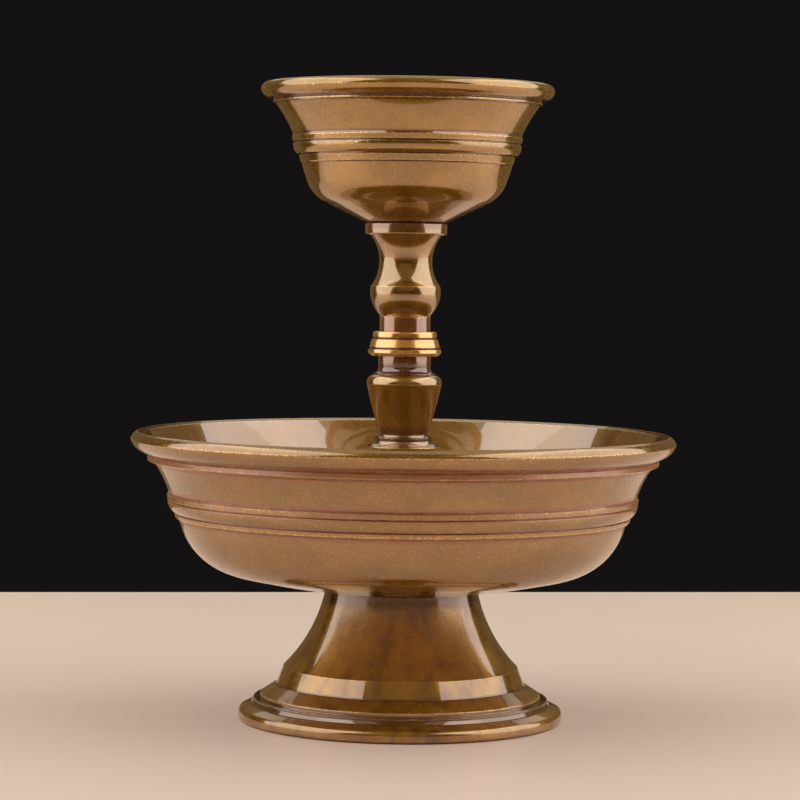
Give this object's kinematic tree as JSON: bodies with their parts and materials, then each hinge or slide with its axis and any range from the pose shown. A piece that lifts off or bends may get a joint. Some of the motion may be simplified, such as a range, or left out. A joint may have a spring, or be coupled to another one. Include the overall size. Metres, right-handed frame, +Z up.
{
  "type": "offering cup",
  "caption": "Two-tier turned brass offering cup: a flared cup on a baluster stem stands loose in a wide footed bowl with an everted lip and a moulded waist band.",
  "frame": {"origin": "middle of the pedestal's resting ring, on the table", "axes": "+Z up along the common axis of all the turnings; +X and +Y are free, as the object is round"},
  "size_m": [0.15, 0.15, 0.1747],
  "materials": {
    "antique_brass": "olive-gold patina under clear lacquer, glossy",
    "amber_brass": "amber-brown patina under clear lacquer, mottled, glossy",
    "red_brass": "dark reddish-brown patina, glossy",
    "bright_brass": "polished, bright yellow",
    "plain_steel": "plain turned steel hardware"
  },
  "bodies": {
    "stand": {"pedestal": "amber_brass", "bowl": "antique_brass", "bowl_screw": "plain_steel", "bowl_washer": "plain_steel"},
    "goblet": {"goblet_foot": "amber_brass", "stem_vase": "antique_brass", "stem_core": "red_brass", "stem_ring": "bright_brass", "stem_baluster": "antique_brass", "cup": "antique_brass", "tie_rod": "plain_steel", "rod_washer": "plain_steel", "rod_nut": "plain_steel"}
  },
  "joints": [
    {"name": "goblet_lift", "type": "slide", "parent": "stand", "child": "goblet", "axis": [0, 0, 1], "range_m": [0, 0.06]}
  ]
}
